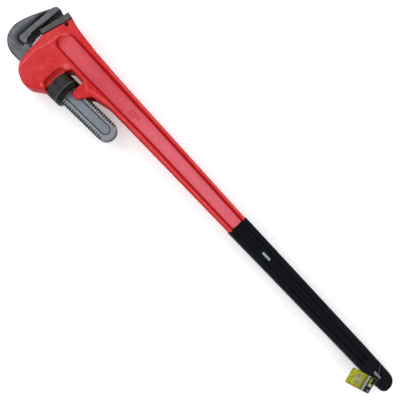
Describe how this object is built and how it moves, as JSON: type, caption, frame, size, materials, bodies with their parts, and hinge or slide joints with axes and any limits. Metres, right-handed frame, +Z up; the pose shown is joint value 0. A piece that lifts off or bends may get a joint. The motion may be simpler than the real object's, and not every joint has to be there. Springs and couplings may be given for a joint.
{
  "type": "pipe wrench",
  "caption": "Large straight pipe wrench: red cast handle and housing, toothed heel jaw, hook jaw on a screw shank moved by a knurled nut, dipped black grip, hang tag on a tie.",
  "frame": {"origin": "bottom centre of the wrench lying flat on its side", "axes": "+X along the handle from the jaws to the grip's end, +Y across it towards the jaw tips, +Z up through the thickness"},
  "size_m": [1.217, 0.19, 0.071],
  "materials": {
    "red_paint": "semi-gloss enamel over a casting",
    "black_vinyl": "smooth dipped vinyl",
    "heel_steel": "forged, phosphated",
    "forged_steel": "forged and ground",
    "blackened_steel": "black oxide, knurled",
    "spring_steel": "bright spring steel",
    "tag_card": "coated card",
    "nylon": "natural nylon"
  },
  "bodies": {
    "handle": {"handle_body": "red_paint", "grip": "black_vinyl", "heel_jaw": "heel_steel", "heel_jaw_pin": "spring_steel", "coil_spring": "spring_steel", "tag_tie": "nylon"},
    "shank_guide": {"leaf_spring": "spring_steel"},
    "nut": {"adjusting_nut": "blackened_steel"},
    "hook": {"hook_jaw": "forged_steel"},
    "tag": {"hang_tag": "tag_card"}
  },
  "joints": [
    {"name": "jaw_rock", "type": "hinge", "parent": "handle", "child": "shank_guide", "pos_m": [-0.4455, -0.005, 0.0355], "axis": [0, 0, 1], "range_deg": [0, 3], "stiffness_Nm_per_rad": 30, "springref_deg": -5.16, "deforming": ["coil_spring"]},
    {"name": "nut_turn", "type": "hinge", "parent": "shank_guide", "child": "nut", "pos_m": [-0.4235, -0.0349, 0.0355], "axis": [0.9986, 0.0523, 0], "range_deg": [0, 6580]},
    {"name": "jaw_slide", "type": "slide", "parent": "shank_guide", "child": "hook", "axis": [-0.9986, -0.0523, 0], "range_m": [0, 0.126]},
    {"name": "tag_lift", "type": "hinge", "parent": "handle", "child": "tag", "pos_m": [0.57554, 0.02455, 0.0521], "axis": [-0.3345, 0.9192, 0.2079], "range_deg": [0, 50], "deforming": ["tag_tie"]}
  ],
  "couplings": [
    {"joint": "nut_turn", "follows": "jaw_slide", "rad_per_m": 910.61}
  ]
}
